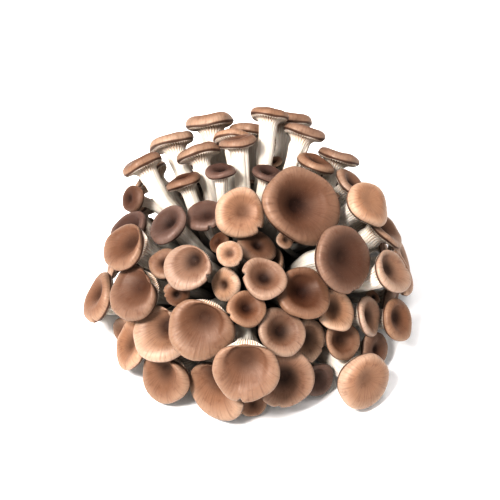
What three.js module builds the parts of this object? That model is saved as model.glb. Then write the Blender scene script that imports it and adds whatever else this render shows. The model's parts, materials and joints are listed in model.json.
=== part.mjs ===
// An oyster mushroom cluster: trumpet-shaped mushrooms that grew from one shared base. The base
// is cut flat underneath and the cluster stands on that face. Millimetres, +Z up, the front
// towards -Y, the origin at the middle of the cut face.
import * as THREE from "three";

// The whole cluster, measured between the middles of its outermost caps.
const clusterWidth = 158;
const clusterDepth = 148;
const clusterHeight = 100;

// The base that the stems grow from: half an ellipsoid over the cut face.
const baseWidth = 92;
const baseDepth = 84;
const baseHeight = 26;
const cutEdgeRise = 2.5; // the height of the base's upright edge
const cutEdgeDraw = 0.99; // how wide the cut face is, as a share of the top of that edge
const lowestFoot = 7; // how high above the cut face the lowest stems start

// Every mushroom.
const capGrowth = 0.87; // all the caps' widths are multiplied by this
const stemToCap = 0.42; // a stem's radius, as a share of its cap's
const stemSpread = 0.08; // how much that share differs from mushroom to mushroom
const thinnestStem = 2.3;
const footTaper = 0.6; // a stem's radius at its foot, as a share of its radius at the top
const growthCentre = new THREE.Vector3(0, 0, -18); // the caps look away from this point
const lengthSpread = 0.16; // how much the stems' lengths differ from mushroom to mushroom
const tiltSpread = 0.3; // how much the caps' tilts differ, as part of the way they look

// The air that is left between two neighbours, above the base and above the ground.
const neighbourGap = 0.5;
const baseGap = 0.4;
const groundGap = 1;

const sides = 12; // of every ring of a mushroom
const baseSides = 24;
const baseSteps = 7; // rings up the base

// Where the caps sit, as shares of half the width, half the depth and the height, and how wide
// each cap is. Tip turns a cap: it is added to the way that the cap looks. Reach is how far the
// cap grew out past its stem, and notch how deep it is cut in on its stem's side, both as shares
// of its radius. Dish is how deep its middle sinks, the same way, and dome how much it arches:
// 1 is an umbrella and 0 a flat cap. Young mushrooms have a greyer coat.
const front = [
  { at: [-0.27, -0.94, 0.16], width: 43, reach: 0.34, notch: 0.32, dish: 0.3 },
  { at: [0.21, -0.86, 0.27], width: 38, reach: 0.05, dish: 0.16 },
  { at: [0.7, -0.8, 0.18], width: 36, reach: 0.2, dish: 0, dome: 0.9 },
  { at: [-0.6, -0.84, 0.18], width: 36, reach: 0.28, notch: 0.22, dish: 0.12, dome: 0.3 },
  { at: [-0.82, -0.64, 0.24], width: 33, reach: 0.05, dish: 0.1, dome: 0.2 },
  { at: [0.46, -0.84, 0.14], width: 24, reach: 0.2, dish: 0.2, young: true },
  { at: [-0.07, -0.9, 0.4], width: 40, reach: 0.36, notch: 0.26, dish: 0.2 },
  { at: [-0.31, -0.72, 0.48], width: 41, reach: 0.32, notch: 0.3, dish: 0.16 },
  { at: [-0.53, -0.66, 0.45], width: 38, reach: 0.32, notch: 0.36, dish: 0.14 },
  { at: [-0.7, -0.44, 0.5], width: 36, reach: 0.34, notch: 0.34, dish: 0.1, dome: 0.3 },
  { at: [-0.05, -0.64, 0.55], width: 24, reach: 0.1, dish: 0.36 },
  { at: [0.09, -0.5, 0.62], width: 28, reach: 0.08, dish: 0.32 },
  { at: [0.2, -0.74, 0.45], width: 31, reach: 0.06, dish: 0.34 },
  { at: [0.41, -0.74, 0.4], width: 27, reach: 0.16, dish: 0.3 },
  { at: [0.32, -0.52, 0.57], width: 34, reach: 0.1, dish: 0.28 },
  { at: [0.58, -0.56, 0.44], width: 28, reach: 0.2, dish: 0.3 },
  { at: [0.63, -0.68, 0.28], width: 25, reach: 0.1, dish: 0.34 },
  { at: [0.8, -0.54, 0.34], width: 27, reach: 0.1, dish: 0.3 },
  { at: [0.97, -0.42, 0.28], width: 28, reach: 0.2, dish: 0.12, dome: 0.3 },
];
const right = [
  { at: [0.78, -0.28, 0.55], width: 30, reach: 0.2, dish: 0.26 },
  { at: [0.98, -0.12, 0.42], width: 31, reach: 0.25, dish: 0.14, dome: 0.2 },
  { at: [0.92, 0.12, 0.58], width: 30, reach: 0.2, dish: 0.2 },
  { at: [1.0, 0.16, 0.24], width: 33, reach: 0.2, dish: 0.1, dome: 0.4 },
  { at: [0.9, 0.42, 0.4], width: 30, reach: 0.2, dish: 0.12, dome: 0.3 },
];
const left = [
  { at: [-0.76, -0.16, 0.6], width: 34, reach: 0.3, notch: 0.2, dish: 0.1, dome: 0.2 },
  { at: [-0.84, 0.12, 0.58], width: 29, reach: 0.25, dish: 0.16, dome: 0.2, young: true },
  { at: [-0.98, -0.24, 0.3], width: 33, reach: 0.2, dish: 0.1, dome: 0.5 },
  { at: [-0.98, 0.2, 0.28], width: 30, reach: 0.2, dish: 0.14, dome: 0.2 },
  { at: [-0.86, 0.5, 0.36], width: 30, reach: 0.1, dish: 0.14, dome: 0.4 },
];
const crown = [
  { at: [0.56, -0.26, 0.7], width: 43, reach: 0.1, dish: 0.1, tip: [0, -0.25, 0] },
  { at: [0.36, -0.02, 0.82], width: 51, reach: 0.12, dish: 0.16, tip: [0, -0.3, 0] },
  { at: [-0.06, -0.02, 0.84], width: 32, reach: 0.1, dish: 0.05, dome: 0.3, tip: [0, -0.7, 0] },
  { at: [0.72, 0.12, 0.72], width: 31, reach: 0.2, dish: 0, dome: 0.6, tip: [0, -0.3, 0] },
  { at: [-0.34, 0.04, 0.82], width: 25, reach: 0.1, dish: 0.12, dome: 0.3, young: true },
  { at: [-0.36, -0.36, 0.66], width: 32, reach: 0.3, notch: 0.3, dish: 0.16 },
  { at: [-0.54, -0.04, 0.72], width: 27, reach: 0.2, dish: 0.1, dome: 0.4, young: true },
];
const back = [
  { at: [-0.2, 0.26, 0.86], width: 19, reach: 0.1, dish: 0.1, dome: 0.7, young: true },
  { at: [0.12, 0.33, 0.86], width: 20, reach: 0.1, dish: 0.1, dome: 0.7, young: true },
  { at: [0.68, 0.36, 0.72], width: 25, reach: 0.1, dish: 0.1, dome: 0.5 },
  { at: [-0.48, 0.4, 0.8], width: 24, reach: 0.1, dish: 0.06, dome: 0.8, tip: [0, 0.2, 0] },
  { at: [-0.08, 0.5, 0.9], width: 24, reach: 0.1, dish: 0.1, dome: 0.7, tip: [0, 0.3, 0] },
  { at: [0.44, 0.46, 0.84], width: 25, reach: 0.1, dish: 0.1, dome: 0.6, tip: [0, 0.2, 0] },
  { at: [-0.76, 0.56, 0.74], width: 28, reach: 0.15, dish: 0.06, dome: 0.9, tip: [0, 0.3, 0] },
  { at: [-0.4, 0.7, 0.8], width: 29, reach: 0.1, dish: 0.05, dome: 1, tip: [0, 0.4, 0] },
  { at: [-0.14, 0.78, 0.86], width: 27, reach: 0.1, dish: 0.08, dome: 0.9, tip: [0, 0.5, 0] },
  { at: [0.12, 0.76, 0.88], width: 26, reach: 0.1, dish: 0.06, dome: 0.8, tip: [0, 0.5, 0] },
  { at: [0.36, 0.74, 0.83], width: 28, reach: 0.15, dish: 0.05, dome: 0.8, tip: [0, 0.4, 0] },
  { at: [0.6, 0.6, 0.72], width: 28, reach: 0.1, dish: 0.1, dome: 0.7, tip: [0, 0.3, 0] },
  { at: [-0.58, 0.9, 0.76], width: 31, reach: 0.2, dish: 0.08, dome: 0.8, tip: [0, 0.3, 0] },
  { at: [-0.3, 1.0, 0.82], width: 32, reach: 0.15, dish: 0.08, dome: 1, tip: [0, 0.3, 0] },
  { at: [-0.02, 1.02, 0.8], width: 30, reach: 0.1, dish: 0.06, dome: 0.9, tip: [0, 0.3, 0] },
  { at: [0.25, 1.0, 0.72], width: 31, reach: 0.2, dish: 0.06, dome: 0.8, tip: [0, 0.3, 0] },
  { at: [0.5, 0.92, 0.6], width: 30, reach: 0.1, dish: 0.1, dome: 0.7, tip: [0, 0.3, 0] },
  { at: [0.76, 0.72, 0.5], width: 30, reach: 0.2, dish: 0.1, dome: 0.5 },
  { at: [-0.7, 0.86, 0.28], width: 32, reach: 0.2, dish: 0.1, dome: 0.5 },
  { at: [-0.3, 1.08, 0.4], width: 34, reach: 0.2, dish: 0.12, dome: 0.4 },
  { at: [0.1, 1.14, 0.34], width: 35, reach: 0.2, dish: 0.1, dome: 0.6 },
  { at: [0.48, 1.02, 0.3], width: 33, reach: 0.2, dish: 0.14, dome: 0.4 },
  { at: [0.8, 0.78, 0.2], width: 31, reach: 0.2, dish: 0.1, dome: 0.5 },
];
const rows = { front, right, left, crown, back };

// A stem's rings: how far along it, and how thick, as a share of its radius at the top.
const stemSection = [
  { along: 0, thick: footTaper },
  { along: 0.34, thick: THREE.MathUtils.lerp(footTaper, 1, 0.4) },
  { along: 0.7, thick: THREE.MathUtils.lerp(footTaper, 1, 0.75) },
  { along: 1, thick: 1 },
];

// A straight cap's section, from under its brim to near the middle of its top: how far out and
// how high, as shares of the cap's radius, from where the stem's axis meets the brim's plane.
// Swing is how much of the cap's reach that ring takes, arch how far a full dome lifts it, and
// sink how much of the dish it takes.
const throatDepth = 0.75;
const capSection = [
  { out: 0.43, up: -0.42, swing: 0.02, arch: 0, sink: 0 },
  { out: 0.62, up: -0.25, swing: 0.25, arch: -0.02, sink: 0 },
  { out: 0.9, up: -0.14, swing: 0.85, arch: -0.08, sink: 0 },
  { out: 1.0, up: -0.03, swing: 1, arch: -0.08, sink: 0 },
  { out: 0.93, up: 0.1, swing: 0.95, arch: 0, sink: 0 },
  { out: 0.66, up: 0.17, swing: 0.6, arch: 0.14, sink: 0.1 },
  { out: 0.27, up: 0.12, swing: 0.2, arch: 0.24, sink: 0.6 },
];
const middle = { up: 0.08, arch: 0.26 };
const brimWave = 0.055; // how far a brim bends up and down, as a share of its radius
const outlineWave = 0.035; // how far a cap's outline strays from round, the same way
const notchWidth = 0.75; // radians

// How a stem bends and how a cap hangs.
const bendShare = 0.35; // of a stem's length, at each end, goes into its bend
const downhill = 0.8; // how much a cap's reach is downwards rather than outwards
const flareStep = 1.08; // a stem's first widening under the cap

// Balls of these sizes, swept over a disc or along a line, are what the settling keeps apart:
// lengths are shares of the cap's radius.
const brimBall = 0.205;
const collar = { up: -0.3, radius: 0.36, ball: 0.215, swing: 0.2 };
const arched = { brim: -0.06, top: 0.17, radius: 0.55, swing: 0.4 };
const curveParts = 3; // the lines that stand for a curved stem

// The settling: each round every mushroom is pushed by all that come too near it.
const fadingRounds = 300; // while these last, a cap is also drawn back to its place
const mostRounds = 3000;
const homePull = 0.03; // how strongly it is drawn at first
const closeEnough = 0.1; // how much of a gap may still be missing at the end
const turnShare = 0.6; // how readily a push on a brim turns the cap
const nearestSteps = 8; // to find the nearest points of two shapes
const longestMove = 2; // of a cap in one round; a foot moves half as far
const widestTurn = 0.1; // radians in one round

// The same number from 0 to 1 for the same mushroom and purpose each time.
function variation(index, purpose) {
  const wave = Math.sin(index * 12.9898 + purpose * 78.233) * 43758.5453;
  return wave - Math.floor(wave);
}

// The base's surface: the point of it in the direction of p, and the way out of it there.
const baseAxes = new THREE.Vector3(baseWidth / 2, baseDepth / 2, baseHeight);

function ontoBase(p) {
  const lifted = p.clone();
  const scaled = lifted.clone().divide(baseAxes);
  lifted.multiplyScalar(1 / scaled.length());
  if (lifted.z >= lowestFoot) return lifted;
  const flat = Math.hypot(p.x / baseAxes.x, p.y / baseAxes.y);
  const share = Math.sqrt(1 - (lowestFoot / baseHeight) ** 2) / flat;
  return lifted.set(p.x * share, p.y * share, lowestFoot);
}

function outOfBase(p) {
  return p.clone().divide(baseAxes).divide(baseAxes).normalize();
}

// What the settling keeps apart: each shape is all points within its ball of a disc or a line.
class Disc {
  constructor(centre, axis, radius, ball) {
    Object.assign(this, { centre, axis, radius, ball, hold: 1, extent: radius + ball });
  }

  nearest(p) {
    const away = p.clone().sub(this.centre);
    away.addScaledVector(this.axis, -away.dot(this.axis));
    const length = away.length();
    if (length > this.radius) away.multiplyScalar(this.radius / length);
    return away.add(this.centre);
  }
}

class Rod {
  constructor(start, end, ball, hold) {
    const centre = start.clone().add(end).multiplyScalar(0.5);
    Object.assign(this, { start, end, ball, hold, centre });
    this.along = end.clone().sub(start);
    this.extent = this.along.length() / 2 + ball;
  }

  nearest(p) {
    const share = p.clone().sub(this.start).dot(this.along) / this.along.lengthSq();
    const held = THREE.MathUtils.clamp(share, 0, 1);
    return this.start.clone().addScaledVector(this.along, held);
  }
}

class Mushroom {
  constructor(spec, index, name) {
    const { at, width, tip = [0, 0, 0], reach, notch = 0, dish, dome = 0, young } = spec;
    Object.assign(this, { name, index, reach, notch, dish, dome, young });
    this.radius = (width / 2) * capGrowth;
    const share = stemToCap + stemSpread * (variation(index, 1) - 0.5);
    this.stem = Math.max(thinnestStem, this.radius * share);
    const [x, y, z] = at;
    this.cap = new THREE.Vector3((x * clusterWidth) / 2, (y * clusterDepth) / 2, z * clusterHeight);
    const longer = 1 + lengthSpread * (variation(index, 4) - 0.6);
    this.cap.sub(growthCentre).multiplyScalar(longer).add(growthCentre);
    const tilt = [5, 6, 7].map((purpose) => tiltSpread * (variation(index, purpose) - 0.5));
    this.face = this.cap.clone().sub(growthCentre).normalize();
    this.face.add(new THREE.Vector3(...tip)).add(new THREE.Vector3(...tilt)).normalize();
    this.foot = ontoBase(this.cap.clone().sub(growthCentre));
    this.home = this.cap.clone();
    this.homeFace = this.face.clone();
  }

  // The way that the cap grew out past its stem: away from the cluster's axis and down.
  outward() {
    const way = new THREE.Vector3(this.cap.x, this.cap.y, 0).normalize();
    way.z = -downhill;
    way.addScaledVector(this.face, -way.dot(this.face));
    return way.normalize();
  }

  throat() {
    return this.cap.clone().addScaledVector(this.face, -throatDepth * this.radius);
  }

  // The stem's centre line, from its foot, square to the base, to the throat, in line with the cap.
  spine() {
    const throat = this.throat();
    const normal = outOfBase(this.foot);
    const start = this.foot.clone().addScaledVector(normal, baseGap);
    const ease = bendShare * start.distanceTo(throat);
    return new THREE.CubicBezierCurve3(
      start,
      start.clone().addScaledVector(normal, ease),
      throat.clone().addScaledVector(this.face, -ease),
      throat,
    );
  }

  shapes() {
    const { cap, face, radius, stem } = this;
    const brim = brimBall * radius;
    const brimCentre = cap.clone().addScaledVector(this.outward(), this.reach * radius);
    brimCentre.addScaledVector(face, arched.brim * this.dome * radius);
    const topCentre = cap.clone().addScaledVector(face, arched.top * this.dome * radius);
    topCentre.addScaledVector(this.outward(), arched.swing * this.reach * radius);
    const collarCentre = cap.clone().addScaledVector(face, collar.up * radius);
    collarCentre.addScaledVector(this.outward(), collar.swing * this.reach * radius);
    const brimRadius = radius * (1 + outlineWave) - brim;
    const made = [
      new Disc(brimCentre, face, brimRadius, brim),
      new Disc(collarCentre, face, collar.radius * radius, collar.ball * radius),
      new Disc(topCentre, face, arched.radius * radius, brim),
    ];
    const points = this.spine().getPoints(curveParts);
    for (let i = 0; i < curveParts; i++) {
      const share = (i + 1) / curveParts;
      const ball = stem * (footTaper + (1 - footTaper) * share);
      made.push(new Rod(points[i], points[i + 1], ball, share - 0.5 / curveParts));
    }
    made.push(new Rod(points[curveParts], collarCentre, stem * flareStep, 1));
    return made;
  }
}

// Moves a mushroom as if it were pushed at point p of one of its shapes.
function push(mushroom, shape, p, shove) {
  mushroom.shift.addScaledVector(shove, shape.hold);
  mushroom.slide.addScaledVector(shove, 1 - shape.hold);
  if (shape instanceof Disc) {
    const arm = p.clone().sub(mushroom.cap);
    mushroom.turn.addScaledVector(arm.cross(shove), turnShare / mushroom.radius ** 2);
  }
}

// Pushes two shapes apart if they are closer than the gap that neighbours keep, and returns how
// much of the gap was missing.
function separate(a, shapeA, b, shapeB) {
  const room = shapeA.ball + shapeB.ball + neighbourGap;
  const far = shapeA.extent + shapeB.extent + neighbourGap;
  if (shapeA.centre.distanceToSquared(shapeB.centre) > far * far) return 0;
  let p = shapeA.nearest(shapeB.centre);
  let q = shapeB.nearest(p);
  for (let i = 0; i < nearestSteps; i++) {
    p = shapeA.nearest(q);
    q = shapeB.nearest(p);
  }
  const way = p.clone().sub(q);
  const missing = room - way.length();
  if (missing <= 0) return 0;
  if (way.length() < closeEnough) way.copy(shapeA.centre).sub(shapeB.centre);
  way.normalize().multiplyScalar(missing / 2);
  push(a, shapeA, p, way);
  push(b, shapeB, q, way.negate());
  return missing;
}

// Lifts a mushroom whose brim or stem comes too near the ground.
function liftOffGround(mushroom, shape) {
  const p = shape.centre.clone();
  if (shape instanceof Disc) p.z -= shape.radius * Math.sqrt(1 - shape.axis.z ** 2);
  else p.copy(shape.start.z < shape.end.z ? shape.start : shape.end);
  const missing = groundGap + shape.ball - p.z;
  if (missing > 0) push(mushroom, shape, p, new THREE.Vector3(0, 0, missing / 2));
}

// Lets the mushrooms push one another aside, as they do while they grow, until none touch.
function settle(mushrooms) {
  for (let round = 0; round < mostRounds; round++) {
    const shapes = mushrooms.map((m) => m.shapes());
    for (const m of mushrooms) {
      m.shift = new THREE.Vector3();
      m.slide = new THREE.Vector3();
      m.turn = new THREE.Vector3();
    }
    let worst = 0;
    mushrooms.forEach((a, i) => {
      for (const shape of shapes[i]) liftOffGround(a, shape);
      for (let j = i + 1; j < mushrooms.length; j++) {
        for (const shapeA of shapes[i]) {
          for (const shapeB of shapes[j]) {
            worst = Math.max(worst, separate(a, shapeA, mushrooms[j], shapeB));
          }
        }
      }
    });
    const fade = Math.max(0, 1 - round / fadingRounds);
    if (fade === 0 && worst < closeEnough) return;
    const pull = homePull * fade;
    for (const m of mushrooms) {
      m.cap.add(m.shift.clampLength(0, longestMove)).lerp(m.home, pull);
      m.foot = ontoBase(m.foot.add(m.slide.clampLength(0, longestMove / 2)));
      m.face.add(m.turn.clampLength(0, widestTurn).cross(m.face));
      m.face.lerp(m.homeFace, pull).normalize();
    }
  }
}

// The rings of a mushroom, from its foot to the middle of its cap: where each is, and how its
// points lie round it.
function ringsOf(mushroom) {
  const { cap, face, radius, stem, index, reach, notch, dish, dome } = mushroom;
  const spine = mushroom.spine();
  const outward = mushroom.outward();
  const rings = [];
  for (const { along: share, thick } of stemSection) {
    const along = spine.getTangentAt(share);
    const front = outward.clone().addScaledVector(along, -outward.dot(along)).normalize();
    const pointRadius = () => stem * thick;
    rings.push({ centre: spine.getPointAt(share), along, front, pointRadius, lift: () => 0 });
  }
  const wavePhase = 2 * Math.PI * variation(index, 2);
  const brimPhase = 2 * Math.PI * variation(index, 3);
  for (const { out, up, swing, arch, sink } of capSection) {
    const share = out ** 2;
    const centre = cap.clone().addScaledVector(face, (up + arch * dome - sink * dish) * radius);
    centre.addScaledVector(outward, reach * swing * radius);
    const mean = Math.max(out * radius, stem * flareStep);
    rings.push({
      centre,
      along: face,
      front: outward,
      pointRadius: (angle) => {
        const inner = Math.abs(THREE.MathUtils.euclideanModulo(angle, 2 * Math.PI) - Math.PI);
        const cut = notch * swing * Math.exp(-((inner / notchWidth) ** 2));
        const lobes = 0.6 * Math.cos(2 * angle + wavePhase) + 0.4 * Math.cos(3 * angle - brimPhase);
        return mean * (1 + share * (outlineWave * lobes - cut));
      },
      lift: (angle) => radius * brimWave * share * Math.cos(2 * angle + brimPhase),
    });
  }
  return rings;
}

function mushroomMesh(mushroom, material) {
  const { cap, face, radius, dish, dome } = mushroom;
  const rings = ringsOf(mushroom);
  const foot = rings[0].centre;
  const rise = middle.up + middle.arch * dome - dish;
  const top = cap.clone().addScaledVector(face, rise * radius);
  const section = [0, ...rings.map((_, i) => i + 1), 0];
  const outline = section.map((out, i) => new THREE.Vector2(out, i));
  const geometry = new THREE.LatheGeometry(outline, sides);
  const position = geometry.getAttribute("position");
  for (let turn = 0; turn <= sides; turn++) {
    const angle = ((turn % sides) / sides) * 2 * Math.PI;
    const row = turn * outline.length;
    position.setXYZ(row, ...foot);
    rings.forEach((ring, i) => {
      const side = ring.along.clone().cross(ring.front);
      const out = ring.pointRadius(angle);
      const p = ring.centre.clone().addScaledVector(ring.front, out * Math.cos(angle));
      p.addScaledVector(side, out * Math.sin(angle));
      p.addScaledVector(ring.along, ring.lift(angle));
      position.setXYZ(row + i + 1, ...p);
    });
    position.setXYZ(row + outline.length - 1, ...top);
  }
  geometry.computeVertexNormals();
  const mesh = new THREE.Mesh(geometry, material);
  mesh.name = mushroom.name;
  return mesh;
}

// The base: flat underneath, a low edge, then the ellipsoid.
function baseMesh(material) {
  const start = Math.asin(cutEdgeRise / baseHeight);
  const cutFace = new THREE.Vector2(Math.cos(start) * cutEdgeDraw, 0);
  const outline = [new THREE.Vector2(0, 0), cutFace];
  for (let i = 0; i <= baseSteps; i++) {
    const angle = start + (i / baseSteps) * (Math.PI / 2 - start);
    const out = i === baseSteps ? 0 : Math.cos(angle);
    outline.push(new THREE.Vector2(out, Math.sin(angle) * baseHeight));
  }
  const geometry = new THREE.LatheGeometry(outline, baseSides);
  geometry.rotateX(Math.PI / 2);
  geometry.scale(baseWidth / 2, baseDepth / 2, 1);
  const mesh = new THREE.Mesh(geometry, material);
  mesh.name = "base";
  return mesh;
}

// The coat of a cap, the coat of a young one, and the flesh of the base.
const brown = { color: 0xa27451, roughness: 0.5, metalness: 0 };
const grey = { color: 0x85695f, roughness: 0.55, metalness: 0 };
const cream = { color: 0xdccdb2, roughness: 0.85, metalness: 0 };

const mushrooms = [];
for (const [row, specs] of Object.entries(rows)) {
  specs.forEach((spec, i) => {
    const name = `${row}_mushroom_${String(i + 1).padStart(2, "0")}`;
    mushrooms.push(new Mushroom(spec, mushrooms.length, name));
  });
}
settle(mushrooms);

const cluster = new THREE.Group();
cluster.add(baseMesh(new THREE.MeshStandardMaterial(cream)));
for (const mushroom of mushrooms) {
  const coat = new THREE.MeshStandardMaterial(mushroom.young ? grey : brown);
  cluster.add(mushroomMesh(mushroom, coat));
}

export default cluster;
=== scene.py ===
"""An oyster mushroom cluster: gilled, fleshy mushrooms with brown skins on a fibrous base.

Each mushroom follows its own solid: the rings of that solid, from foot to cap, are rounded into a
fine grid, and gills, lips, splits and swellings are worked into it as whole arrays. Metres, +Z up,
the front towards -Y.
"""

import itertools
import json
import math

import bpy
import numpy as np
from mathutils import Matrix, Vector


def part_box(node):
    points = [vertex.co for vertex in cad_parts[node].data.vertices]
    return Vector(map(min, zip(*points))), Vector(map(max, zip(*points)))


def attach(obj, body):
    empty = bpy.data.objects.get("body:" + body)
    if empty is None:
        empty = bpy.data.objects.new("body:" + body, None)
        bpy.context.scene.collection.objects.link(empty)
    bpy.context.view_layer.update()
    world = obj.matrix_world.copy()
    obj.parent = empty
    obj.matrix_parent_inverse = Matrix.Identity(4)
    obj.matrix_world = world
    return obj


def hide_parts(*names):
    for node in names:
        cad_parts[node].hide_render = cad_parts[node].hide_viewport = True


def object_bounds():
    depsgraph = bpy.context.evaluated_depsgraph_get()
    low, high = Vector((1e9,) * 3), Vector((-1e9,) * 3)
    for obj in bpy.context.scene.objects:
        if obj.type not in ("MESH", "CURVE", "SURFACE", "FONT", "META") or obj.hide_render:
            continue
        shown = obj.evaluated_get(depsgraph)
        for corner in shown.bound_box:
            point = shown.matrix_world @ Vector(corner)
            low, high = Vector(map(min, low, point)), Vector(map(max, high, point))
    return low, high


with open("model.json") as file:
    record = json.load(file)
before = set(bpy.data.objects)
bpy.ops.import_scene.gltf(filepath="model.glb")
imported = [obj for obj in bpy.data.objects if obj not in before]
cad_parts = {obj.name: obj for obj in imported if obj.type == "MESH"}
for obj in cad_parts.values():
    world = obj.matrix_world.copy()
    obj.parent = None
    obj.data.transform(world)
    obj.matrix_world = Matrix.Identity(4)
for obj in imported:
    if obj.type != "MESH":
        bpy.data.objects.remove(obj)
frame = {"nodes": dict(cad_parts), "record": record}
solid_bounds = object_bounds()

ROUND = 2 * np.pi
ASKEW, ASKEW_SMALL = (0.31, 0.57, 0.76), (0.35, 0.61, -0.2)  # ways that no ring faces

# The rings of a mushroom's solid, counted from its foot.
FOOT, THROAT, FLARE, GILLS, UNDER_RIM = 1, 4, 5, 6, 7
RIM, OVER_RIM, SHOULDER, DIMPLE, CAP_TOP = 8, 9, 10, 11, 12
SIDES = 12  # of a mushroom's ring in its solid
BASE_SIDES = 24  # of the base's ring in its solid
BASE_COLUMNS, BASE_ROWS = 240, 90
CUT_EDGE = 0.006  # m above the cut face: the base's knobs fade out and its cut look begins
KNOBS = ((0.012, 0.0011, 71), (0.005, 0.0005, 72))  # size and height in metres, and the draw
KNOBS_SUNK = 0.0006  # m, so that the knobs stay about level with the solid

# How many rows of points go between each ring and the next, and how many gills a cap may have.
FULL = {"rows": [5, 5, 6, 4, 5, 6, 4, 4, 6, 5, 3], "most_gills": 60}
SMALL = {"rows": [3, 3, 3, 2, 3, 3, 3, 2, 4, 3, 2], "most_gills": 24}
COLUMNS_PER_GILL = 4
LEAST_GILLS = 20
GILL_SPACING = 1.1  # mm of a cap's radius for every four gills

# Heights worked into a mushroom's surface, as shares of its cap's radius.
GILL_DEPTH, GILL_DEEPER = 0.022, 0.04  # on the stem, and how much more under the cap
CAP_LUMPS = 0.026
LIP = 0.02
UNDERCUT = 0.01
WRINKLES = 0.003
LIP_LINE = 0.03  # the dish is measured from this far above the ring over the rim
DISH_FILL = 0.5  # of the dish's depth: flesh that fills it
DIMPLE_DEPTH = 0.16
MARGIN_RIPPLE = 0.018
MARGIN_DRAWN = 0.05
SPLIT_DEPTH = (0.1, 0.26)
SPLIT_WIDTH = (0.05, 0.085)  # radians
SPLIT_REACH = 2.1  # radians either side of the cap's lowest point
# The same, as shares of its stem's radius.
FURROWS = 0.035
STEM_LUMPS = 0.09
FOOT_SWELLING = 0.18
STEM_LUMP_SIZE = 0.016  # m
FOOT_SUNK = 0.0015  # m, how far each foot goes on into the base

# The small mushrooms that have no solids.
SMALL_RADII = (0.0118, 0.0103, 0.0091, 0.008, 0.007, 0.0061, 0.0052)
TRIES = 8000  # for each radius
BLOCK = 200  # tries laid out at one time, which keeps the memory small
MOST_SMALL = 110
LOWEST_WAY = -0.05  # how steeply a small mushroom may point down
LEAN = 0.36  # how far root and cap turn off the way out
SEEN_SHARE = 0.62  # of the caps' distance from the middle of the cut face: stems show down to it
STANDING = 0.001  # m, the least height over the floor
# A small mushroom's stem: how far along it, and how thick as a share of its cap's radius.
SMALL_STEM = [(0, 0.27), (0.34, 0.31), (0.7, 0.36), (1, 0.4)]
STEM_PULL = 0.35  # of the way from foot to throat: how far the stem's ends run straight
THROAT_DROP = 0.75  # of the cap's radius, from the cap's middle down to the throat
# A small cap's rings: how far out and how high, and how much of the dome and the dish each takes.
SMALL_SECTION = [
    (0.46, -0.42, 0.0, 0.0),
    (0.64, -0.26, -0.02, 0.0),
    (0.9, -0.15, -0.08, 0.0),
    (1.0, -0.03, -0.08, 0.0),
    (0.93, 0.1, 0.0, 0.0),
    (0.66, 0.17, 0.14, 0.1),
    (0.27, 0.12, 0.24, 0.6),
]
SMALL_TOP = (0.08, 0.26)  # how high the top is, and how much of the dome it takes
SMALL_SHARES = np.linspace(1.0, 0.58, 13)  # of the caps' distance from the middle
QUARTERS = ("front", "right", "back", "left")

REACH_BLUR = 0.25  # radians over which the caps' distances are evened out
# The painted shade that darkens the flesh deep in the cluster.
SHADE_SPAN = (0.46, 0.88)  # of the caps' distance: full painted shade below it, none above it
DEEPEST_SHADE = 0.97

# Tone runs from 0, a dark skin, to 1, a pale one; hollow says how deep the dimple is and how dark,
# in part with painted shade; ruddy warms the dimple, warm the whole skin; grey is a young skin.
SKINS = {
    "crown_mushroom_01": {"tone": 0.1, "hollow": 0.6, "ruddy": 0.1, "grey": 0.4},
    "crown_mushroom_02": {"tone": 0.12, "hollow": 1.0, "ruddy": 0.5, "warm": 0.25},
    "crown_mushroom_03": {"tone": 0.62, "hollow": 0.55, "ruddy": 0.9},
    "crown_mushroom_04": {"tone": 0.7, "hollow": 0.1},
    "front_mushroom_03": {"tone": 0.85, "hollow": 0.35, "ruddy": 1.0, "warm": 0.5},
    "front_mushroom_05": {"tone": 0.6, "hollow": 0.6, "warm": 0.8},
    "front_mushroom_11": {"tone": 0.15, "hollow": 1.0},
    "front_mushroom_12": {"tone": 0.45, "hollow": 1.0},
    "front_mushroom_13": {"tone": 0.5, "hollow": 1.0},
    "front_mushroom_15": {"tone": 0.05, "hollow": 1.0},
}


def ease(x, low, high):
    """0 below low, 1 above high, and 3t^2 - 2t^3 between them, where t is how far x has come."""
    t = np.clip((x - low) / (high - low), 0.0, 1.0)
    return t * t * (3 - 2 * t)


def bump_at(x, middle, width):
    """A bell: e to the minus square of x's distance from the middle over the width."""
    return np.exp(-(((x - middle) / width) ** 2))


def unit(v):
    """v, or each vector in the last axis of v, at length 1."""
    return v / np.maximum(np.linalg.norm(v, axis=-1, keepdims=True), 1e-12)


def spans(ring):
    """Two directions in a ring's plane: to its first corner, and to the one a quarter round."""
    middle = ring.mean(axis=0)
    return ring[0] - middle, ring[len(ring) // 4] - middle


def swell(points, size, seed, waves=9):
    """Soft lumps between about -1 and 1: plane sine waves of about that size that run in random
    directions through space, added up and divided by the root of their number."""
    dice = np.random.default_rng(seed)
    way = unit(dice.normal(size=(waves, 3)))
    length = size * dice.uniform(0.6, 1.6, waves)
    phase = dice.uniform(0, ROUND, waves)
    total = np.sin((points @ way.T) * (ROUND / length) + phase)
    return total.sum(axis=-1) / math.sqrt(waves)


# ---------------------------------------------------------------------------------------------
# Reading the solids


def merged(node):
    """The node's corners with doubles merged, and its triangles as numbers into them."""
    mesh = node.data
    corners = np.empty(len(mesh.vertices) * 3, np.float32)
    mesh.vertices.foreach_get("co", corners)
    loops = np.empty(len(mesh.loops), np.int32)
    mesh.loops.foreach_get("vertex_index", loops)
    rounded = np.round(corners.reshape(-1, 3).astype(float), 6)
    points, number = np.unique(rounded, axis=0, return_inverse=True)
    return points, number.reshape(-1)[loops].reshape(-1, 3)


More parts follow.
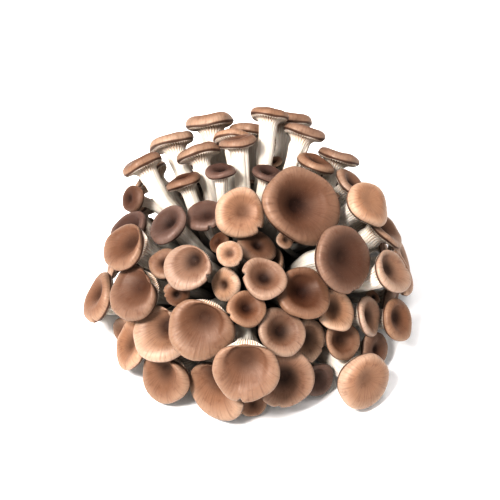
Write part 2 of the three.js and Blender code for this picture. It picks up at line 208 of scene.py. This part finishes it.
def rings_of(node, sides):
    """The two poles of a ringed solid and the rings between them, as (rings, sides, 3).

    A pole is a corner where as many edges meet as a ring has sides. The first pole is a mushroom's
    foot, the nearer one to the cluster's middle, or the base's lower pole. The rings are the
    corners 1, 2, 3 ... edges away from the first pole. Each is put in order by angle about its own
    plane's normal, then turned so that its corners match those of the ring before it."""
    points, triangles = merged(node)
    joined = np.zeros((len(points), len(points)), bool)
    for a, b in ((0, 1), (1, 2), (2, 0)):
        joined[triangles[:, a], triangles[:, b]] = True
        joined[triangles[:, b], triangles[:, a]] = True
    poles = np.flatnonzero(joined.sum(axis=1) == sides)
    if sides == SIDES:
        first, last = sorted(poles, key=lambda p: np.linalg.norm(points[p] * (1, 1, 0.2)))
    else:
        first, last = sorted(poles, key=lambda p: points[p, 2])
    rings = []
    reached = np.zeros(len(points), bool)
    reached[first] = True
    while True:
        edge = joined[reached].any(axis=0) & ~reached
        if edge[last]:
            break
        rings.append(points[edge])
        reached |= edge
    upward = points[last] - points[first]
    ordered = []
    for ring in rings:
        centre = ring.mean(axis=0)
        normal = np.linalg.svd(ring - centre)[2][2]
        normal *= np.sign(normal @ upward)
        across = unit(np.cross(ASKEW, normal))
        turn = np.arctan2((ring - centre) @ np.cross(normal, across), (ring - centre) @ across)
        ring = ring[np.argsort(turn)]
        if ordered:
            before = ordered[-1] - ordered[-1].mean(axis=0)
            match = [np.sum(before * (np.roll(ring, s, axis=0) - centre)) for s in range(sides)]
            ring = np.roll(ring, int(np.argmax(match)), axis=0)
        ordered.append(ring)
    return points[first], np.array(ordered), points[last]


# Each mushroom's foot, rings and top, in the order of their names.
PLAIN = {
    name: rings_of(node, SIDES) for name, node in sorted(frame["nodes"].items()) if name != "base"
}
RIM_MIDDLES = np.array([rings[RIM - FOOT].mean(axis=0) for _, rings, _ in PLAIN.values()])
CAP_REACH, CAP_WAYS = np.linalg.norm(RIM_MIDDLES, axis=-1), unit(RIM_MIDDLES)
LOWEST_FOOT = min(foot[2] for foot, _, _ in PLAIN.values())
BASE_AXES = np.array(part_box("base")[1])  # half the base's width, half its depth and its height


# ---------------------------------------------------------------------------------------------
# Making smooth grids


def round_off(rings, columns):
    """Rings with more points: each ring's Fourier series, taken at that many angles."""
    sides = rings.shape[1]
    waves = np.fft.rfft(rings, axis=1)
    waves[:, sides // 2] *= 0.5
    return np.fft.irfft(waves, columns, axis=1) * (columns / sides)


def over_the_top(rings, top):
    """The knots of a closed top and how far along each stands: the rings, the top, and the last two
    rings again on the far side. The way from one to the next is the mean way between their
    points."""
    columns = rings.shape[1]
    far_side = np.roll(rings[::-1], columns // 2, axis=1)[:2]
    knots = np.concatenate([rings, np.broadcast_to(top, (1, columns, 3)), far_side])
    chord = np.linalg.norm(np.diff(knots, axis=0), axis=-1).mean(axis=1)
    return knots, np.concatenate([[0], np.cumsum(chord)])


def thread(knots, stations, where):
    """A smooth curve through knots that stand at the given stations, taken at other stations.
    Between two knots it is the cubic whose slope at each knot is that of the parabola through the
    knot and its two neighbours."""
    step = np.diff(stations)[:, None, None]
    slope = np.diff(knots, axis=0) / step
    inner = (step[1:] * slope[:-1] + step[:-1] * slope[1:]) / (step[1:] + step[:-1])
    slopes = np.concatenate([slope[:1], inner, slope[-1:]])
    left = np.clip(np.searchsorted(stations, where, side="right") - 1, 0, len(stations) - 2)
    u = ((where - stations[left]) / np.diff(stations)[left])[:, None, None]
    a, b = knots[left], knots[left + 1]
    p, q = slopes[left] * step[left], slopes[left + 1] * step[left]
    return (
        (2 * u**3 - 3 * u**2 + 1) * a
        + (u**3 - 2 * u**2 + u) * p
        + (3 * u**2 - 2 * u**3) * b
        + (u**3 - u**2) * q
    )


def grid_normals(grid):
    """The way out of a grid at each point: the cross product of the way round and the way up."""
    around = np.roll(grid, -1, axis=1) - np.roll(grid, 1, axis=1)
    upward = np.gradient(grid, axis=0)
    return unit(np.cross(around, upward))


def shell(low, grid, high, facts):
    """A closed skin from a grid of rings, as arrays: quads between the rings, a fan of triangles to
    the low point and one to the high point. facts are named values at each ring point; each pole
    takes the mean of the ring next to it. Its UV map is the turn (0 to 1) and the row (0 to 1)."""
    rows, columns = grid.shape[:2]
    number = 1 + np.arange(rows * columns).reshape(rows, columns)
    after = np.roll(number, -1, axis=1)
    quads = np.stack([number[:-1], after[:-1], after[1:], number[1:]], axis=-1).reshape(-1, 4)
    start = np.stack([np.zeros(columns, int), after[0], number[0]], axis=-1)
    end = np.stack([number[-1], after[-1], np.full(columns, rows * columns + 1)], axis=-1)
    left = np.arange(columns) / columns
    right = left + 1 / columns
    row = np.arange(rows) / (rows - 1)
    fan_u = np.stack([left, right, left], axis=-1).ravel()
    quad_u = np.tile(np.stack([left, right, right, left], axis=-1), (rows - 1, 1)).ravel()
    low_row, high_row = np.repeat(row[:-1], columns), np.repeat(row[1:], columns)
    quad_v = np.stack([low_row, low_row, high_row, high_row], axis=-1).ravel()
    fan = np.zeros(3 * columns)
    values = {}
    for fact, value in facts.items():
        value = np.broadcast_to(np.asarray(value, float), (rows, columns))
        values[fact] = np.concatenate([[value[0].mean()], value.ravel(), [value[-1].mean()]])
    return {
        "points": np.concatenate([[low], grid.reshape(-1, 3), [high]]),
        "loops": np.concatenate([start.ravel(), quads.ravel(), end.ravel()]),
        "sizes": np.repeat([3, 4, 3], [columns, len(quads), columns]),
        "u": np.concatenate([fan_u, quad_u, fan_u]),
        "v": np.concatenate([fan, quad_v, fan + 1]),
        "facts": values,
    }


def closed_piece(name, shells, material):
    """One mesh object from one or more closed skins."""
    counts = np.cumsum([0] + [len(s["points"]) for s in shells])
    points = np.concatenate([s["points"] for s in shells])
    loops = np.concatenate([s["loops"] + first for s, first in zip(shells, counts)])
    sizes = np.concatenate([s["sizes"] for s in shells])
    mesh = bpy.data.meshes.new(name)
    mesh.vertices.add(len(points))
    mesh.vertices.foreach_set("co", points.ravel())
    mesh.loops.add(len(loops))
    mesh.loops.foreach_set("vertex_index", loops)
    mesh.polygons.add(len(sizes))
    mesh.polygons.foreach_set("loop_start", np.concatenate([[0], np.cumsum(sizes)[:-1]]))
    mesh.polygons.foreach_set("use_smooth", np.ones(len(sizes), bool))
    mesh.update(calc_edges=True)
    u, v = (np.concatenate([s[key] for s in shells]) for key in "uv")
    mesh.uv_layers.new(name="UVMap").data.foreach_set("uv", np.stack([u, v], axis=-1).ravel())
    for fact in shells[0]["facts"]:
        values = np.concatenate([s["facts"][fact] for s in shells])
        mesh.attributes.new(fact, "FLOAT", "POINT").data.foreach_set("value", values)
    mesh.materials.append(material)
    piece = bpy.data.objects.new(name, mesh)
    bpy.context.scene.collection.objects.link(piece)
    return piece


# ---------------------------------------------------------------------------------------------
# Shader maths


class Value:
    """What a socket gives. Adding to it, taking from it and multiplying it put in Math nodes."""

    def __init__(self, shader, socket):
        self.shader, self.socket = shader, socket

    def math(self, operation, first, second):
        return self.shader.add("ShaderNodeMath", {"operation": operation}, {0: first, 1: second})

    def __add__(self, other):
        return self.math("ADD", self, other)

    def __sub__(self, other):
        return self.math("SUBTRACT", self, other)

    def __rsub__(self, other):
        return self.math("SUBTRACT", other, self)

    def __mul__(self, other):
        return self.math("MULTIPLY", self, other)

    __radd__, __rmul__ = __add__, __mul__

    def between(self, low, high):
        """0 below low, 1 above high, eased between."""
        settings = {"interpolation_type": "SMOOTHSTEP"}
        return self.shader.add("ShaderNodeMapRange", settings, {0: self, 1: low, 2: high})


class Shader:
    """One material. add() puts in a node of any type with its settings and its sockets."""

    def __init__(self, name):
        self.material = bpy.data.materials.new(name)
        self.material.use_nodes = True
        self.tree = self.material.node_tree
        self.tree.nodes.clear()

    def add(self, kind, settings=None, sockets=None, output=0):
        node = self.tree.nodes.new(kind)
        for key, value in (settings or {}).items():
            setattr(node, key, value)
        for key, value in (sockets or {}).items():
            if isinstance(value, Value):
                self.tree.links.new(value.socket, node.inputs[key])
            else:
                node.inputs[key].default_value = value
        return Value(self, node.outputs[output])

    def fact(self, name):
        """What the surface holds under that name at each point."""
        return self.add("ShaderNodeAttribute", {"attribute_name": name}, output="Fac")

    def mix(self, share, a, b):
        """From colour a at a share of 0 to colour b at 1."""
        return self.add("ShaderNodeMix", {"data_type": "RGBA"}, {0: share, 6: a, 7: b}, 2)

    def scaled(self, vector, scale):
        return self.add("ShaderNodeMapping", None, {"Vector": vector, "Scale": scale})

    def noise(self, where, scale, detail, rough):
        sockets = {"Vector": where, "Scale": scale, "Detail": detail, "Roughness": rough}
        return self.add("ShaderNodeTexNoise", None, sockets, "Fac")

    def surfaced(self, sockets):
        """The material, with these sockets on its surface."""
        surface = self.add("ShaderNodeBsdfPrincipled", None, sockets, "BSDF")
        output = self.tree.nodes.new("ShaderNodeOutputMaterial")
        self.tree.links.new(surface.socket, output.inputs["Surface"])
        return self.material


def linear(red, green, blue):
    """A colour as eyes name it, 0 to 255, as light: each share to the power 2.2."""
    return (*((c / 255) ** 2.2 for c in (red, green, blue)), 1.0)


def mushroom_finish():
    """Cap skin above the rim's edge and flesh below it.

    The skin is darkest in the dimple, a darker middle that is partly its own colour and partly
    painted shade, near black at the bottom of deep dimples; it is brown over the middle and paler
    near the margin, with a dark line of painted shade at the very rim, fine fibres that run from
    the middle outwards, soft cloudy patches and pale specks that are painted glints. The flesh is
    cream with lengthwise fibres, and painted shade darkens it between the gills, towards the foot
    and deep in the cluster."""
    s = Shader("mushroom")
    skin, across, tone = s.fact("skin"), s.fact("across"), s.fact("tone")
    gill, along, hollow = s.fact("gill"), s.fact("along"), s.fact("hollow")
    grey, warm, deep = s.fact("grey"), s.fact("warm"), s.fact("deep")
    place = s.add("ShaderNodeTexCoord", None, None, "Object")
    turn = s.add("ShaderNodeUVMap", {"uv_map": "UVMap"}, None, "UV")
    streak = s.noise(s.scaled(turn, (80, 4, 1)), 1.0, 3.0, 0.6)
    fibre = s.noise(s.scaled(turn, (46, 9, 1)), 1.0, 3.0, 0.6)
    cloud = s.noise(place, 90.0, 3.0, 0.55)
    patch = s.noise(place, 240.0, 3.0, 0.6)
    speck = s.noise(place, 1100.0, 2.0, 0.6)

    # The dimple's dark brown: partly the cap's own darker middle and partly painted shade.
    dark = s.mix(s.fact("ruddy"), linear(38, 20, 12), linear(62, 31, 17))
    brown = s.mix(tone, linear(102, 73, 56), linear(174, 147, 127))
    brown = s.mix(warm * 0.45, brown, linear(162, 124, 97))
    brown = s.mix(grey * 0.8, brown, linear(92, 75, 71))
    pale = s.mix(tone, linear(154, 129, 111), linear(210, 194, 180))
    pale = s.mix(warm * 0.45, pale, linear(200, 170, 146))
    pale = s.mix(grey * 0.8, pale, linear(134, 116, 110))
    reach = across + (cloud - 0.5) * 0.2 + (streak - 0.5) * 0.1
    # The dimple darkens with its depth, partly painted shade; deep ones take a painted shade near
    # black at the very bottom.
    coat = s.mix(reach.between(0.0, 0.52) * hollow + (1 - hollow), dark, brown)
    coat = s.mix(reach.between(0.18, 0.0) * hollow * 0.8, coat, linear(22, 9, 4))
    coat = s.mix(reach.between(0.5, 0.98) * 0.8, coat, pale)
    coat = s.mix((streak - 0.42).between(0.0, 0.45) * 0.45, coat, linear(94, 68, 53))
    coat = s.mix(patch.between(0.52, 0.78) * 0.3, coat, linear(96, 61, 42))
    # Painted glints: small pale specks on the skin.
    coat = s.mix(speck.between(0.6, 0.8) * 0.1, coat, linear(204, 176, 154))
    # Painted shade: a dark line at the very rim, where the margin curls under.
    coat = s.mix(across.between(0.95, 0.995) * 0.7, coat, linear(66, 39, 26))

    flesh = s.mix(fibre.between(0.4, 0.8) * 0.5, linear(226, 221, 214), linear(204, 191, 176))
    # Painted shade: darker flesh in the valleys between the gills.
    flesh = s.mix(gill * 0.85, flesh, linear(162, 124, 94))
    flesh = s.mix(cloud.between(0.5, 0.75) * 0.3, flesh, linear(210, 192, 170))
    # Painted shade: the flesh darkens towards the foot, down among the stems.
    flesh = s.mix(along.between(0.62, 0.12) * 0.85, flesh, linear(132, 98, 70))

    colour = s.mix(skin, flesh, coat)
    # Painted shade: the flesh turns near black deep in the cluster, where little light reaches.
    colour = s.mix(deep, colour, linear(20, 11, 7))
    roughness = 0.7 - skin * 0.25 + skin * across.between(0.45, 0.0) * 0.2 + (cloud - 0.5) * 0.2
    height = skin * (streak * 0.6 + patch * 0.2 + speck * 0.18) + (1 - skin) * (fibre + speck * 0.2)
    bump = {"Strength": 0.4, "Distance": 0.0006, "Height": height}
    surface = {
        "Base Color": colour,
        "Roughness": roughness,
        "Normal": s.add("ShaderNodeBump", None, bump, "Normal"),
        "Subsurface Weight": 0.05,
        "Subsurface Radius": (0.004, 0.0022, 0.0012),
        "Subsurface Scale": 1.0,
        "Specular IOR Level": 0.38,
    }
    return s.surfaced(surface)


def base_finish():
    """Brown flesh with fibres and lumps, its brown partly stain and partly painted shade, paler
    where it was cut.
    """
    s = Shader("base_flesh")
    place = s.add("ShaderNodeTexCoord", None, None, "Object")
    lumpy = s.noise(place, 90.0, 4.0, 0.6)
    speck = s.noise(place, 700.0, 3.0, 0.6)
    # The base's browns: partly stain and partly painted shade that darkens it like the deep gaps.
    colour = s.mix(lumpy.between(0.35, 0.65), linear(126, 92, 62), linear(72, 48, 31))
    bump = {"Strength": 0.5, "Distance": 0.0008, "Height": lumpy + speck * 0.4}
    surface = {
        "Base Color": s.mix(s.fact("cut") * 0.7, colour, linear(186, 154, 114)),
        "Roughness": 0.78 + (lumpy - 0.5) * 0.2,
        "Normal": s.add("ShaderNodeBump", None, bump, "Normal"),
        "Specular IOR Level": 0.35,
    }
    return s.surfaced(surface)


# ---------------------------------------------------------------------------------------------
# The mushrooms


def gill_count(radius, most):
    """More gills under a wider cap: four for each step of that spacing along its radius."""
    return int(np.clip(round(radius * 1000 / GILL_SPACING) * 4, LEAST_GILLS, most))


def dressed(name, foot, rings, top, grain, seed, young=False):
    """A mushroom's skin from its plain rings.

    The rings, rounded and threaded, give the plain form. On it go lengthwise swellings of the
    stem; gills, which are cosines of the turn that fade at the rim and down the stem, every second
    one only near the rim; a soft lip over the rim; flesh that fills a share of the dish's depth; a
    dimple; waves of the margin; splits, which are narrow bells that cut the rim back towards the
    middle; and low lumps all over. grain holds the rows between the rings and the most gills."""
    dice = np.random.default_rng(seed)
    size = np.linalg.norm(rings - rings.mean(axis=1, keepdims=True), axis=-1).mean(axis=1)
    radius = size[RIM - FOOT]
    middle = rings[RIM - FOOT].mean(axis=0)

    # The turn starts where the rim lies furthest out and down.
    downhill = unit(np.array([middle[0], middle[1], -0.8 * np.hypot(middle[0], middle[1])]))
    lean = int(np.argmax((rings[RIM - FOOT] - middle) @ downhill))
    rings = np.roll(rings, -lean, axis=1)

    gills = gill_count(radius, grain["most_gills"])
    columns = gills * COLUMNS_PER_GILL
    fine = round_off(rings, columns)
    knots, stations = over_the_top(fine, top)
    numbers = np.arange(FOOT, CAP_TOP + 1)
    level = np.concatenate(
        [np.linspace(n, n + 1, rows, endpoint=False) for n, rows in zip(numbers, grain["rows"])]
    )
    where = np.interp(level, numbers, stations[: len(numbers)])
    grid = thread(knots, stations, where)
    level, turn = level[:, None], (np.arange(columns) / columns * ROUND)[None, :]

    normals = grid_normals(grid)
    centres = grid.mean(axis=1, keepdims=True)
    outward = unit(grid - centres)
    on_stem = 1 - ease(level, THROAT, FLARE)
    on_top = ease(level, RIM - 0.2, RIM + 0.4)
    near_pole = ease(level, DIMPLE, CAP_TOP)

    # The gills.
    gill_zone = ease(level, THROAT - 1.1, FLARE)
    gill_zone = gill_zone * (1 - ease(level, UNDER_RIM - 0.2, UNDER_RIM + 0.5))
    wave = 0.5 - 0.5 * np.cos(gills * turn)
    short = np.tile([0.0, 0.0, 0.0, 0.0, 0.0, 1.0, 1.0, 1.0], columns // 8)[None, :]
    wave = wave * (1 - short * (1 - ease(level, FLARE - 0.3, GILLS)))
    gill = wave * gill_zone
    push = -radius * (GILL_DEPTH + GILL_DEEPER * ease(level, THROAT, GILLS)) * gill

    # The stem: long swellings and shallow furrows.
    furrow = np.cos(5 * turn + dice.uniform(0, 6)) + 0.7 * np.cos(8 * turn + dice.uniform(0, 6))
    stem_size = size[THROAT - FOOT]
    push = push + on_stem * stem_size * FURROWS * furrow * ease(level, FOOT, FOOT + 1)
    push = push + on_stem * stem_size * STEM_LUMPS * swell(grid, STEM_LUMP_SIZE, seed + 1)
    push = push + on_stem * stem_size * FOOT_SWELLING * bump_at(level, FOOT, 0.5)

    # The cap's skin: low lumps, a soft lip over the rim and radial wrinkles near the margin.
    calm = 1 - 0.8 * near_pole
    push = push + on_top * calm * radius * CAP_LUMPS * swell(grid, radius * 1.1, seed + 2)
    push = push + radius * LIP * bump_at(level, OVER_RIM + 0.1, 0.6)
    push = push - radius * UNDERCUT * bump_at(level, RIM - 0.25, 0.3)
    wrinkle = np.cos(gills * 0.5 * turn + dice.uniform(0, 6))
    wrinkle = wrinkle * np.cos(3 * turn + dice.uniform(0, 6))
    push = push + radius * WRINKLES * wrinkle * bump_at(level, OVER_RIM, 0.7)
    grid = grid + normals * push[..., None]

    # The skin's look: as listed for the cap, or else drawn. The caps at the back are darker.
    facts = {
        "tone": dice.beta(1.6, 1.8) * (0.5 if "back" in name else 1.0),
        "hollow": dice.uniform(0.6, 1.0),
        "ruddy": dice.uniform(0.0, 0.8),
        "warm": max(0.0, dice.uniform(-0.5, 0.7)),
        "grey": 1.0 if young else max(0.0, dice.uniform(-0.3, 0.4)),
        **SKINS.get(name, {}),
    }

    # The dish fills up in part along the cap's axis, and the dimple in its middle sinks.
    axis = unit(np.cross(*spans(rings[RIM - FOOT])))
    axis = axis * np.sign(axis @ (middle - foot))
    lip = fine[OVER_RIM - FOOT].mean(axis=0) + axis * radius * LIP_LINE
    below = np.maximum(0.0, (lip - grid) @ axis) * ease(level, OVER_RIM, SHOULDER + 0.5)
    sunk = radius * DIMPLE_DEPTH * facts["hollow"]
    grid = grid + axis * (DISH_FILL * below - sunk * bump_at(level, CAP_TOP, 0.7))[..., None]
    top = top + axis * (DISH_FILL * max(0.0, (lip - top) @ axis) - sunk)

    # The margin: gentle waves, and splits in some.
    margin = bump_at(level, RIM, 1.0)
    ripple = sum(np.cos(k * turn + dice.uniform(0, 6)) / k for k in (3, 4, 5, 7, 9, 13))
    lobes = sum(np.cos(k * turn + dice.uniform(0, 6)) for k in (2, 3, 4)) / 3
    inward = radius * (MARGIN_RIPPLE * ripple - MARGIN_DRAWN * (0.6 + lobes)) * margin
    split = np.zeros_like(turn)
    for _ in range(dice.choice([0, 0, 0, 1, 1, 2])):
        gap = np.angle(np.exp(1j * (turn - dice.uniform(-SPLIT_REACH, SPLIT_REACH))))
        depth, width = dice.uniform(*SPLIT_DEPTH), dice.uniform(*SPLIT_WIDTH)
        split = split + depth * bump_at(gap, 0.0, width)
    inward = inward - radius * split * bump_at(level, RIM, 1.1)
    grid = grid + outward * inward[..., None]

    # How far each point of the skin is from the cap's middle, and of the stem from its foot.
    rise = where[:, None]
    rim_at = np.interp(RIM + 0.1, numbers, stations[: len(numbers)])
    across = np.clip((stations[CAP_TOP - FOOT] - rise) / (stations[CAP_TOP - FOOT] - rim_at), 0, 1)
    skin = ease(level + 0.12 * np.sin(5 * turn + seed), RIM - 0.75, RIM - 0.35)
    facts["skin"] = skin * (1 - 0.75 * ease(split, 0.05, 0.2) * bump_at(level, RIM, 0.7))
    facts["across"] = across
    # along also sets the painted shade that darkens the flesh towards the foot.
    facts["along"] = np.clip(rise / stations[THROAT - FOOT], 0, 1)
    # gill also marks the gill valleys, which the finish darkens as painted shade.
    facts["gill"] = gill * ease(level, THROAT - 1, GILLS)
    # The painted shade for the flesh deep in the cluster.
    facts["deep"] = painted_shade_in(grid)
    into_base = unit(foot - fine[1].mean(axis=0)) * FOOT_SUNK
    grid = grid + into_base * bump_at(level, FOOT, 0.3)[..., None]
    return shell(foot + into_base, grid, top, facts)


# ---------------------------------------------------------------------------------------------
# The cluster's shape


def outer_reach(ways):
    """How far the caps stand from the middle of the cut face in each direction: the mean of their
    distances, each weighted by a bell of its angle away."""
    turn = np.arccos(np.clip(ways @ CAP_WAYS.T, -1, 1))
    weight = bump_at(turn, 0.0, REACH_BLUR) + 1e-9
    return (weight @ CAP_REACH) / weight.sum(axis=-1)


def painted_shade_in(grid):
    """How much painted shade a point takes for lying deep in the cluster: 0 near the caps and full
    shade near the middle of the cut face, eased between by how far out it is as a share of the
    caps' distance."""
    points = grid.reshape(-1, 3)
    share = np.linalg.norm(points, axis=-1) / outer_reach(unit(points))
    return ((1 - ease(share, *SHADE_SPAN)) * DEEPEST_SHADE).reshape(grid.shape[:-1])


class Room:
    """The space in and around the cluster as a lattice of cells, each taken or free."""

    CELL = 0.0009
    MARGIN = 0.02

    def __init__(self, low, high):
        self.low = low - self.MARGIN
        cells = np.ceil((high - low + 2 * self.MARGIN) / self.CELL)
        self.taken = np.zeros(cells.astype(int), bool)
        step = np.arange(-1, 2)
        self.near = np.stack(np.meshgrid(step, step, step), axis=-1).reshape(-1, 1, 3)

    def cells(self, points):
        cell = ((points - self.low) / self.CELL).astype(int)
        return np.clip(cell, 1, np.array(self.taken.shape) - 2)

    def take(self, points):
        """Takes the cells that hold the points, and those next to them."""
        cell = (self.cells(points.reshape(-1, 3)) + self.near).reshape(-1, 3)
        self.taken[tuple(cell.T)] = True

    def free(self, points):
        """For each row of points, whether none is in a taken cell."""
        cell = self.cells(points)
        return ~self.taken[cell[..., 0], cell[..., 1], cell[..., 2]].any(axis=-1)


def small_rings(way, reach, radius, root, tilt, dome, dish):
    """The feet, rings and tops of small mushrooms whose caps stand at those distances from the
    middle of the cut face: (mushrooms, 3), (mushrooms, rings, sides, 3) and (mushrooms, 3).

    A stem follows a cubic Bezier curve from the base, square to it, to the throat, in line with
    the cap. root is added to the way to the foot and tilt to the way that the cap faces. The cap's
    rings are circles about its axis."""
    size = radius[:, None]
    cap = way * reach[:, None]
    face = unit(way + tilt)
    foot = unit(way + root)
    foot = foot / np.linalg.norm(foot / BASE_AXES, axis=-1, keepdims=True)
    foot[:, 2] = np.maximum(foot[:, 2], LOWEST_FOOT)
    throat = cap - face * size * THROAT_DROP
    normal = unit(foot / BASE_AXES**2)
    pull = STEM_PULL * np.linalg.norm(throat - foot, axis=-1, keepdims=True)
    knots = (foot, foot + normal * pull, throat - face * pull, throat)
    centres, axes, outs = [], [], []
    for share, thick in SMALL_STEM:
        rest = 1 - share
        blend = (rest**3, 3 * share * rest**2, 3 * share**2 * rest, share**3)
        slope = (-(rest**2), rest * (1 - 3 * share), share * (2 - 3 * share), share**2)
        centres.append(sum(b * k for b, k in zip(blend, knots)))
        axes.append(unit(sum(b * k for b, k in zip(slope, knots))))
        outs.append(thick * size)
    for out, up, arch, sink in SMALL_SECTION:
        centres.append(cap + face * size * (up + arch * dome - sink * dish)[:, None])
        axes.append(face)
        outs.append(out * size)
    centres, axes, outs = (np.stack(v, axis=1)[:, :, None] for v in (centres, axes, outs))
    front = unit(np.cross(axes, ASKEW_SMALL))
    side = np.cross(axes, front)
    turn = (np.arange(SIDES) / SIDES * ROUND)[:, None]
    rings = centres + outs * (front * np.cos(turn) + side * np.sin(turn))
    top = cap + face * size * (SMALL_TOP[0] + SMALL_TOP[1] * dome - dish)[:, None]
    return foot, rings, top


def plant_small(room, dice):
    """Small mushrooms for the gaps: for each size, from large to small, and each share of the
    cluster's reach, from the outside in, whatever tries find free space for cap and upper stem."""
    planted = []
    for radius in SMALL_RADII:
        way = unit(dice.normal(size=(TRIES, 3)) * (1, 1, 0.8))
        way = way[way[:, 2] > LOWEST_WAY]
        count = len(way)
        full = outer_reach(way)
        root, tilt = dice.normal(size=(2, count, 3)) * LEAN
        dome, dish = dice.uniform(0, 0.9, count), dice.uniform(0.0, 0.3, count)
        dish = dish * (1 - dome)
        own = radius * dice.uniform(0.88, 1.12, count)
        blocks = [slice(first, first + BLOCK) for first in range(0, count, BLOCK)]
        for share, block in itertools.product(SMALL_SHARES, blocks):
            reach = full[block]
            shape = (values[block] for values in (own, root, tilt, dome, dish))
            foot, rings, top = small_rings(way[block], reach * share, *shape)
            top = top[:, None]
            stem = stem_points(rings)
            seen = np.linalg.norm(stem, axis=-1, keepdims=True) > SEEN_SHARE * reach[:, None, None]
            cap = [rings[:, 3:].reshape(len(foot), -1, 3), halfway(rings[:, 3:]), top]
            probe = np.concatenate([np.where(seen, stem, top), *cap], axis=1)
            standing = rings[..., 2].min(axis=(1, 2)) > STANDING
            for i in np.flatnonzero(room.free(probe) & standing):
                if len(planted) < MOST_SMALL and room.free(probe[i]):
                    planted.append((foot[i].copy(), rings[i].copy(), top[i, 0].copy()))
                    room.take(probe[i])
    return planted


def stem_points(rings):
    """Points on the upper stem, at six even steps between each two of its rings."""
    low, high = rings[:, 1:3, None], rings[:, 2:4, None]
    step = (np.arange(1, 7) / 7)[:, None, None]
    return (low + (high - low) * step)[..., ::2, :].reshape(len(rings), -1, 3)


def halfway(rings):
    """The points midway between each ring's and the next one's, and midway round."""
    between = (rings[:, 1:] + rings[:, :-1]) / 2
    between = (between + np.roll(between, 1, axis=2)) / 2
    return between.reshape(len(rings), -1, 3)


def lump(node, material):
    """The base: its solid's rings, rounded, with two sizes of knobs that fade out at the cut."""
    low, rings, high = rings_of(node, BASE_SIDES)
    fine = round_off(rings, BASE_COLUMNS)
    knots, stations = over_the_top(fine, high)
    where = np.linspace(0, stations[len(fine)], BASE_ROWS, endpoint=False)
    grid = thread(knots, stations, where)
    free = ease(grid[..., 2], 0.0, CUT_EDGE)
    knobs = sum(swell(grid, size, seed) * height for size, height, seed in KNOBS)
    grid = grid + grid_normals(grid) * (free * (knobs - KNOBS_SUNK))[..., None]
    grid[..., 2] = np.maximum(grid[..., 2], 0.0)
    facts = {"cut": 1 - ease(grid[..., 2], 0.0, CUT_EDGE)}
    return closed_piece("base_grown", [shell(low, grid, high, facts)], material)


def finished(piece, name):
    """Says what a piece rides on and hides the solid that it stands for, if any."""
    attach(piece, "root")
    if name:
        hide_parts(name)


def grow():
    """The mushrooms that have solids and the base, then the small mushrooms in the free space,
    joined into a piece for each quarter of the cluster."""
    slots = {part["node"]: part["material_slot"] for part in frame["record"]["subparts"]}
    flesh = mushroom_finish()
    room = Room(np.array(solid_bounds[0]), np.array(solid_bounds[1]))
    for seed, (name, (foot, rings, top)) in enumerate(PLAIN.items()):
        skin = dressed(name, foot, rings, top, FULL, 101 + seed, "young" in slots[name])
        room.take(skin["points"])
        finished(closed_piece(f"{name}_grown", [skin], flesh), name)
    finished(lump(frame["nodes"]["base"], base_finish()), "base")

    quarters = {}
    planted = plant_small(room, np.random.default_rng(7))
    for seed, (foot, rings, top) in enumerate(planted):
        skin = dressed("small", foot, rings, top, SMALL, 501 + seed)
        # Each quarter runs an eighth of a turn either side of its way; the back one holds +Y.
        quarter = int((np.arctan2(top[1], top[0]) / ROUND + 0.375) * 4) % 4
        quarters.setdefault(QUARTERS[quarter], []).append(skin)
    for quarter, skins in sorted(quarters.items()):
        piece = closed_piece(f"{quarter}_small_mushrooms", skins, flesh)
        finished(piece, None)


grow()


# ---------------------------------------------------------------------------------------------
# Studio

CAMERA_RISE, CAMERA_DISTANCE = math.radians(48), 0.67


def stage_floor():
    """A pale floor: a flat square, 6 m across."""
    mesh = bpy.data.meshes.new("studio_floor")
    mesh.from_pydata([(-3, -3, 0), (3, -3, 0), (3, 3, 0), (-3, 3, 0)], [], [(0, 1, 2, 3)])
    surface = {"Base Color": (0.93, 0.93, 0.935, 1), "Roughness": 0.9}
    mesh.materials.append(Shader("studio_white").surfaced(surface))
    floor = bpy.data.objects.new("studio_floor", mesh)
    bpy.context.scene.collection.objects.link(floor)


def look_from(thing, place, target):
    """Stands a lamp or camera at a place and turns it to a target."""
    thing.location = place
    thing.rotation_mode = "QUATERNION"
    thing.rotation_quaternion = (Vector(target) - Vector(place)).to_track_quat("-Z", "Y")


def lamp(name, place, target, width, watts, colour=(1, 1, 1)):
    """A square lamp of that width that faces the target."""
    light = bpy.data.lights.new(name, "AREA")
    light.size, light.energy, light.color = width, watts, colour
    thing = bpy.data.objects.new(name, light)
    bpy.context.scene.collection.objects.link(thing)
    look_from(thing, place, target)


def studio():
    """Soft light from above and the left, a weaker one from the right, and an even pale room."""
    low, high = solid_bounds
    heart = (low + high) / 2
    stage_floor()
    lamp("key", heart + Vector((-0.5, -0.45, 1.0)), heart, 0.3, 19.0, (1.0, 0.985, 0.965))
    lamp("top", heart + Vector((0.15, 0.35, 1.2)), heart, 0.6, 5.0)
    lamp("fill", heart + Vector((0.9, -0.7, 0.55)), heart, 0.6, 0.8, (0.97, 0.985, 1.0))
    world = bpy.data.worlds.new("room")
    world.use_nodes = True
    background = world.node_tree.nodes["Background"].inputs
    background["Color"].default_value, background["Strength"].default_value = (1, 1, 1, 1), 0.88
    bpy.context.scene.world = world
    view = bpy.context.scene.view_settings
    view.view_transform, view.gamma, view.exposure = "Standard", 0.58, 0.12

    camera = bpy.data.cameras.new("camera")
    camera.lens, camera.sensor_width = 88, 36
    camera.clip_start, camera.clip_end = 0.05, 20
    thing = bpy.data.objects.new("camera", camera)
    bpy.context.scene.collection.objects.link(thing)
    target = heart + Vector((0.0, 0.0, -0.004))
    away = Vector((0, -math.cos(CAMERA_RISE), math.sin(CAMERA_RISE))) * CAMERA_DISTANCE
    look_from(thing, target + away, target)
    bpy.context.scene.camera = thing


studio()
